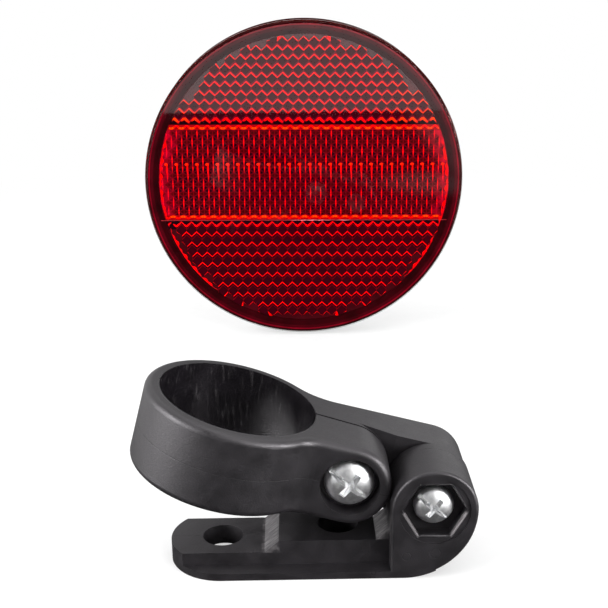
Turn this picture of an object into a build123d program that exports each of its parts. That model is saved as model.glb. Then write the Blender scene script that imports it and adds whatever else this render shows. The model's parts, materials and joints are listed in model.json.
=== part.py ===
from build123d import *
from math import hypot, sqrt
import os

# Bicycle rear reflector: a round red prism reflector and the seat post bracket that it
# bolts to, shown apart. Millimetres. Frame: origin on the base of the bracket's foot,
# midway between its two holes, +X along the foot towards the pivot, +Y away from the
# viewer, +Z up. The reflector stands on its rim behind the bracket and faces -Y.

# Seat post clamp: a split band with an ear in front and an arm behind the split
post_diameter = 25.4
band_wall = 2.2
band_height = 13.0
band_reach = 33.1  # pivot axis to band axis
band_set_back = 0.7  # band axis behind the arm's front face at the pivot
clamp_tilt = 14.9  # how far the clamp is turned up from level, in degrees
arm_thickness = 8.8
split_lead = 0.9  # back of the split behind the band axis
split_gap = 0.45
ear_thickness = 9.85
ear_reach = 13.5  # pivot axis to clamp screw axis
rim_round = 1.1  # radius of the outer top and bottom edges
ear_blend = 5.0  # hollow curve from the band into the ear
arm_blend = 9.0  # hollow curve from the band into the back of the arm

# Mounting foot
hole_spacing = 18.6
hole_diameter = 6.5
foot_width = 16.7
flange_thickness = 1.2
flange_corner_round = 3.0
block_width = 11.2
pad_height = 3.35
raised_height = 5.3
step_run = 2.3  # length of the slanted step along the foot
step_before_middle = 2.5  # start of the slanted step, left of the middle of the holes
pivot_beyond_hole = 14.7
pivot_height = 11.5
knuckle_radius = 6.75
knuckle_thickness = 10.2
knuckle_gap = 0.25  # between the knuckle and the arm
knuckle_edge_round = 0.5
gusset_length = 2.1
gusset_rise = 1.8
knuckle_recess_diameter = 11.1
knuckle_recess_depth = 0.25
knuckle_pocket_flats = 9.2
knuckle_pocket_depth = 3.1

# Screws and nuts of the bracket
screw_clearance = 0.1  # all round a screw in its hole
thread_clearance = 0.05  # between a screw's thread and its nut's
thread_grip_share = 0.89  # of a screw's diameter: how wide it is where its nut grips it
nut_clearance = 0.15  # all round a nut in its pocket
nut_sink = 0.3  # nut's face below the arm's back face
clamp_screw_diameter = 4.0
clamp_screw_length = 15.0
clamp_head_diameter = 7.9
clamp_head_height = 2.9
clamp_counterbore_diameter = 9.4
clamp_counterbore_depth = 3.0
clamp_nut_flats = 7.0
clamp_nut_height = 3.2
pivot_screw_diameter = 3.5
pivot_screw_length = 15.5
pivot_head_diameter = 6.3
pivot_head_height = 2.4
pivot_nut_flats = 6.0
pivot_nut_height = 2.8
head_side_share = 0.45  # share of a pan head's height below its dome
slot_width_share = 0.15  # of the head's diameter
slot_depth_share = 0.35  # of the head's height
cross_span_share = 0.62
cross_depth_share = 0.6
slot_turn = -38.0  # direction of the slots, in degrees
end_chamfer_share = 0.1  # of a screw's diameter

# Reflector lens: a plate with a skirt, and prisms on its rear face
lens_diameter = 76.2
lens_plate = 2.2
lens_edge_round = 0.6
skirt_wall = 1.1
lens_depth = 6.0
plain_rim = 3.3  # flat ring between the prisms and the lens's edge
prism_pitch = 2.5
prism_height = 2.04
prism_root = 0.3  # how far a prism block reaches into the plate
band_top = 12.7  # borders of the middle prism band, above the lens centre
band_split = 4.25
band_bottom = -9.0
zone_gap = 0.3  # groove between two prism zones
upper_rows = 4
lower_rows = 6
outer_rows = 10  # rows of tilted prisms above the middle band, and below it
tilted_shoulder = 0.46  # slant height of a tilted prism's outline, in pitches
tilted_drop = 0.353  # a tilted prism's point below its top corner, in pitches

# Reflector back and its stud
back_thickness = 1.8
back_inset = 0.3  # back's edge inside the lens's edge
back_edge_round = 1.0
spigot_clearance = 0.1
spigot_wall = 1.4
spigot_height = 1.1
boss_diameter = 14.0
boss_height = 2.0
stud_diameter = 5.0
stud_length = 18.0
stud_head_flats = 8.0
stud_head_height = 3.0
stud_head_sink = 2.0  # seat of the stud's head below the back's inner face
washer_diameter = 10.0
washer_thickness = 1.0
stud_nut_flats = 8.0
stud_nut_height = 4.0
nub_width = 3.8
nub_reach = 0.65  # below the lens's edge
nub_depth = 1.2
nub_offset = 1.5
reflector_behind = 103.9  # lens's front face behind the middle of the holes
reflector_aside = 5.8  # lens axis to the right of the middle of the holes

# Places that follow from the sizes
knuckle_front = -foot_width / 2
knuckle_back = knuckle_front + knuckle_thickness
arm_front = knuckle_back + knuckle_gap
arm_back = arm_front + arm_thickness
band_axis_y = arm_front + band_set_back
split_back = band_axis_y + split_lead
ear_outer = split_back - split_gap - ear_thickness
bore_radius = post_diameter / 2
band_radius = bore_radius + band_wall
half_height = band_height / 2
ear_end = half_height - ear_reach
pivot_x = hole_spacing / 2 + pivot_beyond_hole
boot_wall_x = pivot_x - knuckle_radius
heel_x = pivot_x + knuckle_radius - pivot_height
lens_radius = lens_diameter / 2
prism_field_radius = lens_radius - plain_rim
clamp_seat_y = ear_outer + clamp_counterbore_depth
clamp_nut_y = arm_back - nut_sink - clamp_nut_height
pivot_seat_y = knuckle_front + knuckle_pocket_depth
pivot_nut_y = arm_back - nut_sink - pivot_nut_height
stud_seat_z = -lens_depth - stud_head_sink
boss_face_z = -lens_depth - back_thickness - boss_height
reach_past = 1.0  # how far a cutting tool runs past the face that it cuts


def along_y(sketch, front, back):
    """Extrude a sketch drawn in X and Z from y = front to y = back."""
    plane = Plane(origin=(0, back, 0), x_dir=(1, 0, 0), z_dir=(0, -1, 0))
    return extrude(plane * sketch, back - front)


def upward(sketch, bottom, top):
    """Extrude a sketch drawn in X and Y from z = bottom to z = top."""
    return Pos(0, 0, bottom) * extrude(sketch, top - bottom)


def polygon(*points):
    return make_face(Polyline(*points, close=True))


def rectangle(left, bottom, right, top):
    return polygon((left, bottom), (right, bottom), (right, top), (left, top))


def hexagon(flats):
    return RegularPolygon(flats / sqrt(3), 6)


def gripped_shank(diameter, length, nut_bottom, nut_top):
    """Shank from z = -length to z = 0, as wide as its thread's middle inside the nut that grips it."""
    shank = upward(Circle(diameter / 2), -length, 0)
    shank = chamfer(shank.edges().group_by(Axis.Z)[0], diameter * end_chamfer_share)
    ring = Circle(diameter / 2 + reach_past) - Circle(diameter * thread_grip_share / 2)
    return shank - upward(ring, nut_bottom, nut_top)


def pan_head_screw(shank, diameter, height):
    """Domed head with a slot and a cross, its seat at z = 0, on top of a shank."""
    crown = height * (1 - head_side_share)
    dome_radius = (diameter**2 / 4 + crown**2) / (2 * crown)
    head = upward(Circle(diameter / 2), 0, height)
    head &= Pos(0, 0, height - dome_radius) * Sphere(dome_radius)
    slot_width = diameter * slot_width_share
    slot = upward(Rectangle(diameter + reach_past, slot_width), height * (1 - slot_depth_share),
                  height + reach_past)
    cross_arm = upward(Rectangle(diameter * cross_span_share, slot_width),
                       height * (1 - cross_depth_share), height + reach_past)
    cross = cross_arm + Rot(0, 0, 90) * cross_arm
    return head - Rot(0, 0, slot_turn) * (slot + cross) + shank


def hex_nut(screw_diameter, flats, height):
    """Nut on Z from z = 0 up, its corners chamfered at both ends."""
    corner_radius = flats / sqrt(3)
    blank = upward(hexagon(flats), 0, height)
    turned = Cylinder(corner_radius, height, align=(Align.CENTER, Align.CENTER, Align.MIN))
    turned = chamfer(turned.edges().filter_by(GeomType.CIRCLE), corner_radius - flats / 2)
    hole_radius = screw_diameter * thread_grip_share / 2 + thread_clearance
    hole = upward(Circle(hole_radius), -reach_past, height + reach_past)
    return (blank & turned) - hole


def facing_front(x, y, z):
    """Place for a piece made along Z, so that its +Z points at the viewer (-Y)."""
    return Plane(origin=(x, y, z), x_dir=(1, 0, 0), z_dir=(0, -1, 0)).location


def outer_wall_rims(body):
    """Edges round the clamp's upright outer walls: those that belong to one wall only."""
    walls = []
    for face in body.faces():
        middle = face.center()
        if abs(face.normal_at(middle).Z) > 1e-6:
            continue
        if face.geom_type == GeomType.CYLINDER:
            upright = abs(face.axis_of_rotation.direction.Z) > 0.99
            outside = upright and abs(face.radius - bore_radius) > band_wall / 2
        else:
            outside = abs(middle.Y - ear_outer) < 1e-3 or abs(middle.Y - arm_back) < 1e-3
        if outside:
            walls.append(face)
    owners = {}
    for wall in walls:
        for edge in wall.edges():
            middle = edge.position_at(0.5)
            place = (round(middle.X, 3), round(middle.Y, 3), round(middle.Z, 3))
            owners.setdefault(place, []).append(edge)
    return [edges[0] for edges in owners.values() if len(edges) == 1]


def clamp_plan():
    """Outline seen from above, in the clamp's own frame: pivot at the origin, band at -X."""
    band = Pos(-band_reach, band_axis_y) * Circle(band_radius)
    arm = polygon((-band_reach, arm_back), (half_height, arm_back), (half_height, arm_front),
                  (ear_end, arm_front), (-band_reach, band_axis_y))
    ear = polygon((-band_reach, ear_outer), (ear_end, ear_outer), (ear_end, arm_front),
                  (-band_reach, band_axis_y))
    plan = band + arm + ear
    for wall_y, blend in ((ear_outer, ear_blend), (arm_back, arm_blend)):
        corner = [v for v in plan.vertices() if abs(v.Y - wall_y) < 1e-3 and v.X < -ear_reach]
        plan = fillet(corner, blend)
    return plan


def split_plan():
    """The split between ear and arm, from inside the bore to past the ear's end."""
    bore_x = -band_reach + bore_radius / 2
    root_x = -band_reach + bore_radius
    past_end = ear_end + reach_past
    return polygon((bore_x, split_back), (root_x, split_back), (ear_end, arm_front), (past_end, arm_front),
                   (past_end, arm_front - split_gap), (ear_end, arm_front - split_gap),
                   (root_x, split_back - split_gap), (bore_x, split_back - split_gap))


def round_end_waste(end_x, front, back, back_at_end):
    """What a half round end about end_x leaves over, down to a straight back or a slanted one."""
    square_end = end_x + half_height + reach_past
    plan = polygon((end_x, front), (square_end, front), (square_end, back_at_end), (end_x, back))
    round_end = along_y(Pos(end_x, 0) * Circle(half_height), front, max(back, back_at_end))
    return upward(plan, -half_height, half_height) - round_end


def clamp_in_own_frame():
    body = upward(clamp_plan() - split_plan(), -half_height, half_height)
    body -= round_end_waste(-ear_reach, ear_outer - reach_past, split_back, arm_front - split_gap / 2)
    body -= round_end_waste(0, arm_front - split_gap / 2, arm_back + reach_past, arm_back + reach_past)
    body = fillet(outer_wall_rims(body), rim_round)
    body -= Pos(-band_reach, band_axis_y) * upward(Circle(bore_radius), -band_height, band_height)
    screw_hole = Circle(clamp_screw_diameter / 2 + screw_clearance)
    body -= Pos(-ear_reach, 0, 0) * along_y(screw_hole, ear_outer, arm_back)
    counterbore = Circle(clamp_counterbore_diameter / 2)
    body -= Pos(-ear_reach, 0, 0) * along_y(counterbore, ear_outer - reach_past, clamp_seat_y)
    nut_pocket = hexagon(clamp_nut_flats + 2 * nut_clearance)
    body -= Pos(-ear_reach, 0, 0) * along_y(nut_pocket, clamp_nut_y, arm_back + reach_past)
    pivot_hole = Circle(pivot_screw_diameter / 2 + screw_clearance)
    body -= along_y(pivot_hole, arm_front - reach_past, arm_back)
    pivot_nut_pocket = hexagon(pivot_nut_flats + 2 * nut_clearance)
    body -= along_y(pivot_nut_pocket, pivot_nut_y, arm_back + reach_past)
    return body


def sole_profile():
    """Side view of all that the foot may fill: flat base, and a heel that sweeps up to the knuckle."""
    left = -hole_spacing / 2 - foot_width
    heel = Pos(heel_x, pivot_height) * Circle(pivot_height)
    heel &= rectangle(heel_x, 0, heel_x + pivot_height, pivot_height)
    return rectangle(left, 0, heel_x, pivot_height) + heel


def foot_plan(width, right):
    """Outline from above of a plate with a round left end about the first hole."""
    left_hole = -hole_spacing / 2
    strip = rectangle(left_hole - foot_width, -width / 2, right, width / 2)
    round_left = Pos(left_hole, 0) * Circle(foot_width / 2)
    return strip & (round_left + rectangle(left_hole, -foot_width / 2, right, foot_width / 2))


def block_profile():
    """Side view of the foot's block: low pad, slanted step, raised middle and gusset."""
    left = -hole_spacing / 2 - foot_width / 2 - reach_past
    step_x = -step_before_middle
    gusset_x = boot_wall_x - gusset_length
    inside_x = boot_wall_x + knuckle_edge_round
    top = raised_height + gusset_rise
    return polygon((left, 0), (left, pad_height), (step_x, pad_height), (step_x + step_run, raised_height),
                   (gusset_x, raised_height), (boot_wall_x, top), (inside_x, top), (inside_x, 0))


def knuckle_boot():
    """The knuckle and the boot under it, one upright slab with a rounded front edge."""
    profile = Pos(pivot_x, pivot_height) * Circle(knuckle_radius)
    profile += sole_profile() & rectangle(boot_wall_x, 0, pivot_x + knuckle_radius, pivot_height)
    boot = along_y(profile, knuckle_front, knuckle_back)
    front = boot.faces().sort_by(Axis.Y)[0]
    rims = [edge for edge in front.edges() if edge.position_at(0.5).Z > reach_past / 10]
    return fillet(rims, knuckle_edge_round)


def mounting_foot():
    flange_edge = sqrt(pivot_height**2 - (pivot_height - flange_thickness) ** 2)
    flange_plan = foot_plan(foot_width, heel_x + flange_edge)
    back_corner = flange_plan.vertices().sort_by(Axis.X)[-2:].sort_by(Axis.Y)[-1]
    flange_plan = fillet(back_corner, flange_corner_round)
    flange = upward(flange_plan, 0, flange_thickness) & along_y(sole_profile(), -foot_width, foot_width)
    block = upward(foot_plan(block_width, pivot_x), 0, pivot_height)
    block &= along_y(block_profile(), -foot_width, foot_width)
    room = rectangle(boot_wall_x - gusset_length, knuckle_back, pivot_x + knuckle_radius, foot_width)
    block -= upward(room, 0, pivot_height)
    foot = flange + block + knuckle_boot()
    holes = GridLocations(hole_spacing, 0, 2, 1) * Circle(hole_diameter / 2)
    foot -= upward(Sketch() + holes, -reach_past, pivot_height)
    recess = along_y(Circle(knuckle_recess_diameter / 2), knuckle_front - reach_past,
                     knuckle_front + knuckle_recess_depth)
    pocket = along_y(hexagon(knuckle_pocket_flats), knuckle_front - reach_past, pivot_seat_y)
    hole = along_y(Circle(pivot_screw_diameter / 2 + screw_clearance), knuckle_front,
                   knuckle_back + reach_past)
    return foot - Pos(pivot_x, 0, pivot_height) * (recess + pocket + hole)


def prism_cell(x, y, row, shoulder, drop):
    """Corners of one prism, pointed up: its point, and its outline clockwise from the top corner.

    The point stands highest, the top and the two lower side corners stand halfway, and the
    other three corners lie at the root, so that the big lower facet is flat."""
    top = y + (row + shoulder) / 2
    ratio = (row + shoulder - drop) / (row - drop)
    half_way = prism_height * (1 - 1 / ratio)
    half_pitch = prism_pitch / 2
    point = (x, top - drop, prism_height)
    left, right = x - half_pitch, x + half_pitch
    outline = [(x, top, half_way), (right, top - shoulder, 0), (right, top - row, half_way),
               (x, top - row - shoulder, 0), (left, top - row, half_way), (left, top - shoulder, 0)]
    return point, outline


def flat_face(points):
    return Face(Wire(Polyline(*points, close=True).edges()))


def prism_block(low, high, rows, shoulder_share, drop_share, whole_cells):
    """One zone of prisms between two straight borders, its facets above z = 0, its root below."""
    row = (high - low) / rows
    shoulder = row / 3 if shoulder_share is None else prism_pitch * shoulder_share
    drop = (row + shoulder) / 2 if drop_share is None else prism_pitch * drop_share
    last_column = int(prism_field_radius / prism_pitch) + 1
    cells = {}
    for level in range(-1, rows + 1):
        shift = (level % 2) / 2
        for column in range(-last_column, last_column + 1):
            x = (column + shift) * prism_pitch
            y = low + (level + 0.5) * row
            point, outline = prism_cell(x, y, row, shoulder, drop)
            reach = max(hypot(px, py) for px, py, _ in outline)
            if hypot(x, y) < prism_field_radius and (reach < prism_field_radius or not whole_cells):
                cells[2 * column + level % 2, level] = (point, outline)
    sides = ((1, 1), (2, 0), (1, -1), (-1, -1), (-2, 0), (-1, 1))
    faces = []
    for (column, level), (point, outline) in cells.items():
        for first in (0, 2, 4):
            a, b, c = outline[first], outline[(first + 1) % 6], outline[(first + 2) % 6]
            if first == 2 or drop_share is None:
                faces.append(flat_face([point, a, b, c]))
            else:
                faces.append(flat_face([point, a, b]))
                faces.append(flat_face([point, b, c]))
        faces.append(flat_face([(px, py, -prism_root) for px, py, _ in outline]))
        for index, (across, up) in enumerate(sides):
            if (column + across, level + up) not in cells:
                a, b = outline[index], outline[(index + 1) % 6]
                faces.append(flat_face([a, b, (b[0], b[1], -prism_root), (a[0], a[1], -prism_root)]))
    block = Solid(Shell(faces))
    half_gap = zone_gap / 2
    window = rectangle(-lens_radius, low + half_gap, lens_radius, high - half_gap)
    window &= Circle(prism_field_radius)
    return block & upward(window, -prism_root, prism_height + reach_past)


def reflector_lens():
    """Red lens in its own frame: front face at z = 0 facing +Z, up along +Y."""
    plate = upward(Circle(lens_radius), -lens_plate, 0)
    lens = fillet(plate.edges().group_by(Axis.Z)[-1], lens_edge_round)
    lens += upward(Circle(lens_radius) - Circle(lens_radius - skirt_wall), -lens_depth, -lens_plate)
    tilted = (outer_rows, tilted_shoulder, tilted_drop, True)
    top_zone = prism_block(-prism_field_radius, -band_top, *tilted)
    zones = [mirror(top_zone, about=Plane.XZ),
             prism_block(band_split, band_top, upper_rows, None, None, False),
             prism_block(band_bottom, band_split, lower_rows, None, None, False),
             prism_block(-prism_field_radius, band_bottom, *tilted)]
    for zone in zones:
        lens += Pos(0, 0, -lens_plate) * mirror(zone, about=Plane.XY)
    return lens


def reflector_back():
    """Black back in the lens's frame: plate, spigot inside the skirt, boss for the stud, nub."""
    rear = -lens_depth - back_thickness
    plate = upward(Circle(lens_radius - back_inset), rear, -lens_depth)
    back = fillet(plate.edges().group_by(Axis.Z)[0], back_edge_round)
    spigot_radius = lens_radius - skirt_wall - spigot_clearance
    spigot = Circle(spigot_radius) - Circle(spigot_radius - spigot_wall)
    back += upward(spigot, -lens_depth, -lens_depth + spigot_height)
    back += upward(Circle(boss_diameter / 2), rear - boss_height, rear)
    nub_radius = (nub_width**2 / 4 + nub_reach**2) / (2 * nub_reach)
    nub = Pos(nub_offset, nub_radius - nub_reach - lens_radius) * Circle(nub_radius)
    back += upward(nub, -lens_depth - nub_depth, -lens_depth)
    back -= upward(hexagon(stud_head_flats + 2 * nut_clearance), stud_seat_z, -lens_depth + reach_past)
    return back - upward(Circle(stud_diameter / 2 + screw_clearance), rear - boss_height - reach_past, 0)


def mounting_stud():
    nut_top = boss_face_z - washer_thickness - stud_seat_z
    shank = gripped_shank(stud_diameter, stud_length, nut_top - stud_nut_height, nut_top)
    return Pos(0, 0, stud_seat_z) * (shank + upward(hexagon(stud_head_flats), 0, stud_head_height))


def stud_washer():
    ring = Circle(washer_diameter / 2) - Circle(stud_diameter / 2 + screw_clearance)
    return upward(ring, boss_face_z - washer_thickness, boss_face_z)


def stud_nut():
    bottom = boss_face_z - washer_thickness - stud_nut_height
    return Pos(0, 0, bottom) * hex_nut(stud_diameter, stud_nut_flats, stud_nut_height)


def bracket_parts():
    """The clamp's pieces in the clamp's frame, and then all at their places in the bracket."""
    nut_top = clamp_seat_y - clamp_nut_y
    shank = gripped_shank(clamp_screw_diameter, clamp_screw_length, nut_top - clamp_nut_height, nut_top)
    clamp_screw = pan_head_screw(shank, clamp_head_diameter, clamp_head_height)
    clamp_nut = hex_nut(clamp_screw_diameter, clamp_nut_flats, clamp_nut_height)
    nut_top = pivot_seat_y - pivot_nut_y
    shank = gripped_shank(pivot_screw_diameter, pivot_screw_length, nut_top - pivot_nut_height, nut_top)
    pivot_screw = pan_head_screw(shank, pivot_head_diameter, pivot_head_height)
    pivot_nut = hex_nut(pivot_screw_diameter, pivot_nut_flats, pivot_nut_height)
    turned = {
        "seat_post_clamp": clamp_in_own_frame(),
        "clamp_screw": facing_front(-ear_reach, clamp_seat_y, 0) * clamp_screw,
        "clamp_nut": facing_front(-ear_reach, clamp_nut_y + clamp_nut_height, 0) * clamp_nut,
        "pivot_nut": facing_front(0, pivot_nut_y + pivot_nut_height, 0) * pivot_nut,
    }
    place = Pos(pivot_x, 0, pivot_height) * Rot(0, clamp_tilt, 0)
    parts = {name: place * piece for name, piece in turned.items()}
    parts["mounting_foot"] = mounting_foot()
    parts["pivot_screw"] = facing_front(pivot_x, pivot_seat_y, pivot_height) * pivot_screw
    return parts


def reflector_parts():
    place = facing_front(reflector_aside, reflector_behind, lens_radius + nub_reach)
    pieces = {
        "reflector_lens": reflector_lens(),
        "reflector_back": reflector_back(),
        "mounting_stud": mounting_stud(),
        "stud_washer": stud_washer(),
        "stud_nut": stud_nut(),
    }
    return {name: place * piece for name, piece in pieces.items()}


if __name__ == "__main__":
    os.makedirs("parts", exist_ok=True)
    for node, solid in {**bracket_parts(), **reflector_parts()}.items():
        export_step(solid, f"parts/{node}.step")
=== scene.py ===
"""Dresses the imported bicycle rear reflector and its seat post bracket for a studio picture.

The bracket's mouldings and nuts are the frame's own nodes with a new finish, and its two screws
are made anew with slotted cross heads. The lens is rebuilt as three surfaces: a dark red rim, a
field of prisms and a clear flat front. Lengths named without a unit are in millimetres."""

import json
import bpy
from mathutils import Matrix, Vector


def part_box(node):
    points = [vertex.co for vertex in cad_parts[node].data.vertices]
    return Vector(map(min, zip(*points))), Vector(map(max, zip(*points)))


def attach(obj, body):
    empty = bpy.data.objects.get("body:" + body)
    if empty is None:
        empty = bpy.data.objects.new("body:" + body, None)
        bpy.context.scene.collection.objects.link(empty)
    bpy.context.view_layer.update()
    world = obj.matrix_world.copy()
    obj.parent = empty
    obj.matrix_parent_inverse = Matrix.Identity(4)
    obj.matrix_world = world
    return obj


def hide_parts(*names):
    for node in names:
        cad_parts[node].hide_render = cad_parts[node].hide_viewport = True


bl_info = {
    "name": "Bicycle Rear Reflector",
    "version": (1, 0, 0),
    "blender": (4, 5, 0),
    "location": "View3D > Sidebar > Reflector",
    "description": "Builds the red prism lens and finishes the bracket of a bicycle rear reflector",
    "category": "Object",
}

import bmesh
import bpy
import numpy as np
from bpy.props import FloatProperty, FloatVectorProperty, PointerProperty
from bpy.types import Operator, Panel, PropertyGroup
from mathutils import Matrix

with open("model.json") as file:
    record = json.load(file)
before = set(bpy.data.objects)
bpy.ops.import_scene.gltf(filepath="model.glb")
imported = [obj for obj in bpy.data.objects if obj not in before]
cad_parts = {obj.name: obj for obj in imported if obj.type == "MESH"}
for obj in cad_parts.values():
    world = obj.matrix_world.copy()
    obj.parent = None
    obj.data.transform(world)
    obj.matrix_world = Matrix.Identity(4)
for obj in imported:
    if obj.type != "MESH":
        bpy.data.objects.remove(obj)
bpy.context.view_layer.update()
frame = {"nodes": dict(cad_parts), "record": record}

MM = 0.001
LENS_LOW, LENS_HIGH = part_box("reflector_lens")
LENS_X = (LENS_LOW.x + LENS_HIGH.x) / 2
LENS_Z = (LENS_LOW.z + LENS_HIGH.z) / 2
LENS_FRONT = LENS_LOW.y
LENS_RADIUS = (LENS_HIGH.x - LENS_LOW.x) / 2 / MM
LENS_DEPTH = (LENS_HIGH.y - LENS_LOW.y) / MM
LENS_BODY = "foot_and_reflector"
# Depths behind the lens's front: where the clear piece ends, the rim's inner floor and its rear wall
CLEAR_DEPTH, RIM_FLOOR, REAR_WALL = 1.29, 1.3, 2.2
# Heights over the lens axis where the zones of prisms begin and end
UPPER_START, BAND_HIGH, BAND_SEAM, BAND_LOW, LOWER_END = 14.3, 12.6, 4.1, -8.0, -9.6
# Start and end, in degrees, of the lit lines along the prism field's edge
SIDE_GLOWS = ((160, 196), (199, 232), (-44, -22), (-19, 19))
# Place across the rim from its inner to its outer edge, and the share of its red there
RIM_SHADES = ((0.0, 1.1), (0.36, 0.9), (0.42, 0.35), (0.60, 0.4), (0.66, 0.95), (0.77, 0.9), (0.85, 0.5))
CLEAR_IOR = 1.55
BAND_CENTRE = tuple(frame["record"]["mounts"][2]["pos_m"])
BAND_AXIS = tuple(frame["record"]["mounts"][2]["axis"])
PIVOT = tuple(frame["record"]["behaviour"]["joints"][0]["pos_m"])
POCKET_MOUTH = -8.1
# x, z, inner and outer radius of the round mould marks on the foot's front
BOOT_MARKS = ((24.2, 4.26, 0.75, 0.9), (19.7, 3.8, 0.6, 0.75),
              (-4.9, 0.8, 0.3, 0.45), (14.5, 0.95, 0.25, 0.4))
# Start, end and softness along x, and lowest height, of the foot's two scuffed steps
FOOT_STEPS = ((-2.4, 0.2, 0.25, 3.1), (15.6, 17.6, 0.2, 5.2))


def tint(red, green, blue):
    """The linear colour of a picture's red, green and blue values from 0 to 255."""
    value = np.array((red, green, blue)) / 255
    return tuple(np.where(value <= 0.04045, value / 12.92, ((value + 0.055) / 1.055) ** 2.4))


# ---------------------------------------------------------------- settings


def length_setting(name, description, millimetres):
    """A length that a user may change, with its default in millimetres."""
    return FloatProperty(name=name, description=description, default=millimetres * MM, unit="LENGTH")


def share_setting(name, description, default, low, high):
    """A share from low to high that a user may change."""
    return FloatProperty(
        name=name, description=description, default=default, min=low, max=high, subtype="FACTOR")


def turn_setting(name, description, degrees):
    """An angle that a user may change, with its default in degrees."""
    return FloatProperty(name=name, description=description, default=np.radians(degrees), unit="ROTATION")


def colour_setting(name, description, default):
    """A colour that a user may change, with its default as linear red, green and blue."""
    return FloatVectorProperty(name=name, description=description, default=default, subtype="COLOR")


class PrismSettings(PropertyGroup):
    column_pitch: length_setting("Column pitch", "Width of one prism", 2.448)
    field_radius: length_setting("Field radius", "Radius of the whole field of prisms", 34.8)
    field_turn: turn_setting("Field turn", "How far the lens is turned in its own plane", -0.6)
    crest_depth: length_setting("Crest depth", "Prism points below the flat front", 0.5)
    relief: length_setting("Relief", "Height of the prisms from root to point", 0.55)
    upper_row: length_setting("Upper row pitch", "Row pitch of the zone over the middle band", 2.08)
    lower_row: length_setting("Lower row pitch", "Row pitch of the zone under the middle band", 2.576)
    middle_row: length_setting("Middle row pitch", "Row pitch of the middle band", 2.17)
    zigzag_height: length_setting("Zigzag height", "Height of the zigzag between two rows", 1.15)
    upper_crease: length_setting("Upper crease", "Thin crease above the zigzag, over the band", 0.56)
    lower_crease: length_setting("Lower crease", "Thin crease below the zigzag, under the band", 0.70)
    upper_line: length_setting("Upper line", "Width of a zigzag's bold stroke over the band", 0.29)
    lower_line: length_setting("Lower line", "Width of a zigzag's bold stroke under the band", 0.31)
    faint_line: length_setting("Faint line", "Width of the thin lines inside a prism", 0.13)


# Apart from the rim's, the ring's and the mould line's, these colours paint how the prisms send light back:
# the lit lines and spots are painted highlights and glints, and the darker facet colours are painted shade.
class LensColours(PropertyGroup):
    # Painted light: the narrow facets over the band take this lighter tone, and the same facets under it take
    # the shaded one.
    lit_narrow_facet: colour_setting("Hazy facet", "Narrow facets of the prisms over the middle band", tint(84, 0, 30))
    bright: colour_setting("Bright line", "Lit edges of the prisms", tint(255, 0, 0))
    # Painted glints: the hot spots along the middle band's borders and in the dots on its seam.
    amber_glint: colour_setting("Amber", "Hot spots along the borders of the middle band", tint(244, 118, 0))
    ember: colour_setting("Ember", "Dull lit strokes", tint(168, 0, 8))
    # Painted glints on the facets at the left and right ends of the middle band.
    edge_glint: colour_setting("Glow", "Facets at the left and right ends of the middle band", tint(235, 0, 45))
    faint: colour_setting("Faint line", "Thin lines inside a prism", tint(106, 0, 12))
    facet: colour_setting("Dark facet", "Big facet of a tilted prism", tint(40, 0, 6))
    shade: colour_setting("Shaded facet", "Narrow facets of the prisms under the middle band", tint(20, 0, 6))
    mesh: colour_setting("Middle band", "Facets of the middle band", tint(90, 0, 6))
    # Painted shade in the middles of the band's facets.
    shaded_middle: colour_setting("Pit", "Dark middles of the facets of the middle band", tint(26, 0, 8))
    rim: colour_setting("Rim", "Plain edge round the prisms", tint(62, 2, 10))
    ring: colour_setting("Ring", "Thin brighter ring on the plain edge", tint(112, 4, 22))
    scar: colour_setting("Scar", "Pale mould line under the middle band", tint(225, 130, 140))


class BracketColours(PropertyGroup):
    nylon: colour_setting("Nylon", "Moulded black of the bracket", (0.0058, 0.0049, 0.0062))
    # This pale colour is also the painted highlight on the pocket's lip.
    scuff_and_highlight: colour_setting("Scuffed nylon", "Pale scratched places of the bracket", (0.15, 0.14, 0.145))
    zinc: colour_setting("Zinc", "Plate of the screws and nuts", (0.94, 0.945, 0.96))
    grain_pitch: length_setting("Grain", "Size of the nylon's fine grain", 0.22)
    roughness: share_setting("Nylon roughness", "Roughness of the moulded nylon", 0.47, 0.0, 1.0)


class ScrewSettings(PropertyGroup):
    slot_width: share_setting("Slot width", "Width of the slot, as a share of the diameter", 0.11, 0.05, 0.3)
    slot_depth: share_setting("Slot depth", "Depth of the slot, as a share of the height", 0.58, 0.1, 0.7)
    slot_turn: turn_setting("Slot turn", "Direction of the slots, to the right and up", -39.0)
    wing_length: share_setting("Wing length", "Cross's reach, as a share of the diameter", 0.27, 0.1, 0.4)
    wing_width: share_setting("Wing width", "Width of the cross, as a share of the diameter", 0.12, 0.05, 0.3)
    clamp_head: length_setting("Clamp screw head", "Height of the clamp screw's head", 2.9)
    clamp_thread: length_setting("Clamp screw thread", "Diameter of the clamp screw", 4.0)
    clamp_grip: length_setting("Clamp screw grip", "Diameter of the clamp screw inside its nut", 3.56)
    pivot_head: length_setting("Pivot screw head", "Height of the pivot screw's head", 2.4)
    pivot_thread: length_setting("Pivot screw thread", "Diameter of the pivot screw", 3.5)
    pivot_grip: length_setting("Pivot screw grip", "Diameter of the pivot screw inside its nut", 3.115)


class LipSettings(PropertyGroup):
    flats: length_setting("Flats", "Width of the pocket's hexagon across its flats", 9.2)
    depth: length_setting("Depth", "Depth of the lip's slanted face", 0.5)
    width: length_setting("Width", "Width of the lip at its inner end", 0.42)


class StudioSettings(PropertyGroup):
    camera_place: FloatVectorProperty(
        name="Camera", description="Place of the camera", subtype="TRANSLATION", unit="LENGTH",
        default=(2.27 * MM, -163.47 * MM, 97.04 * MM))
    camera_turn: FloatVectorProperty(
        name="Camera turn", description="Turn to the right, tilt down and roll of the camera",
        subtype="EULER", unit="ROTATION",
        default=(np.radians(0.687), np.radians(18.381), np.radians(-0.61)))
    lens_length: FloatProperty(
        name="Camera lens", description="Focal length on a 36 mm sensor, in millimetres", default=67.21)
    floor_reach: length_setting("Floor", "Half the width of the floor", 4000.0)


# ---------------------------------------------------------------- surfaces


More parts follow.
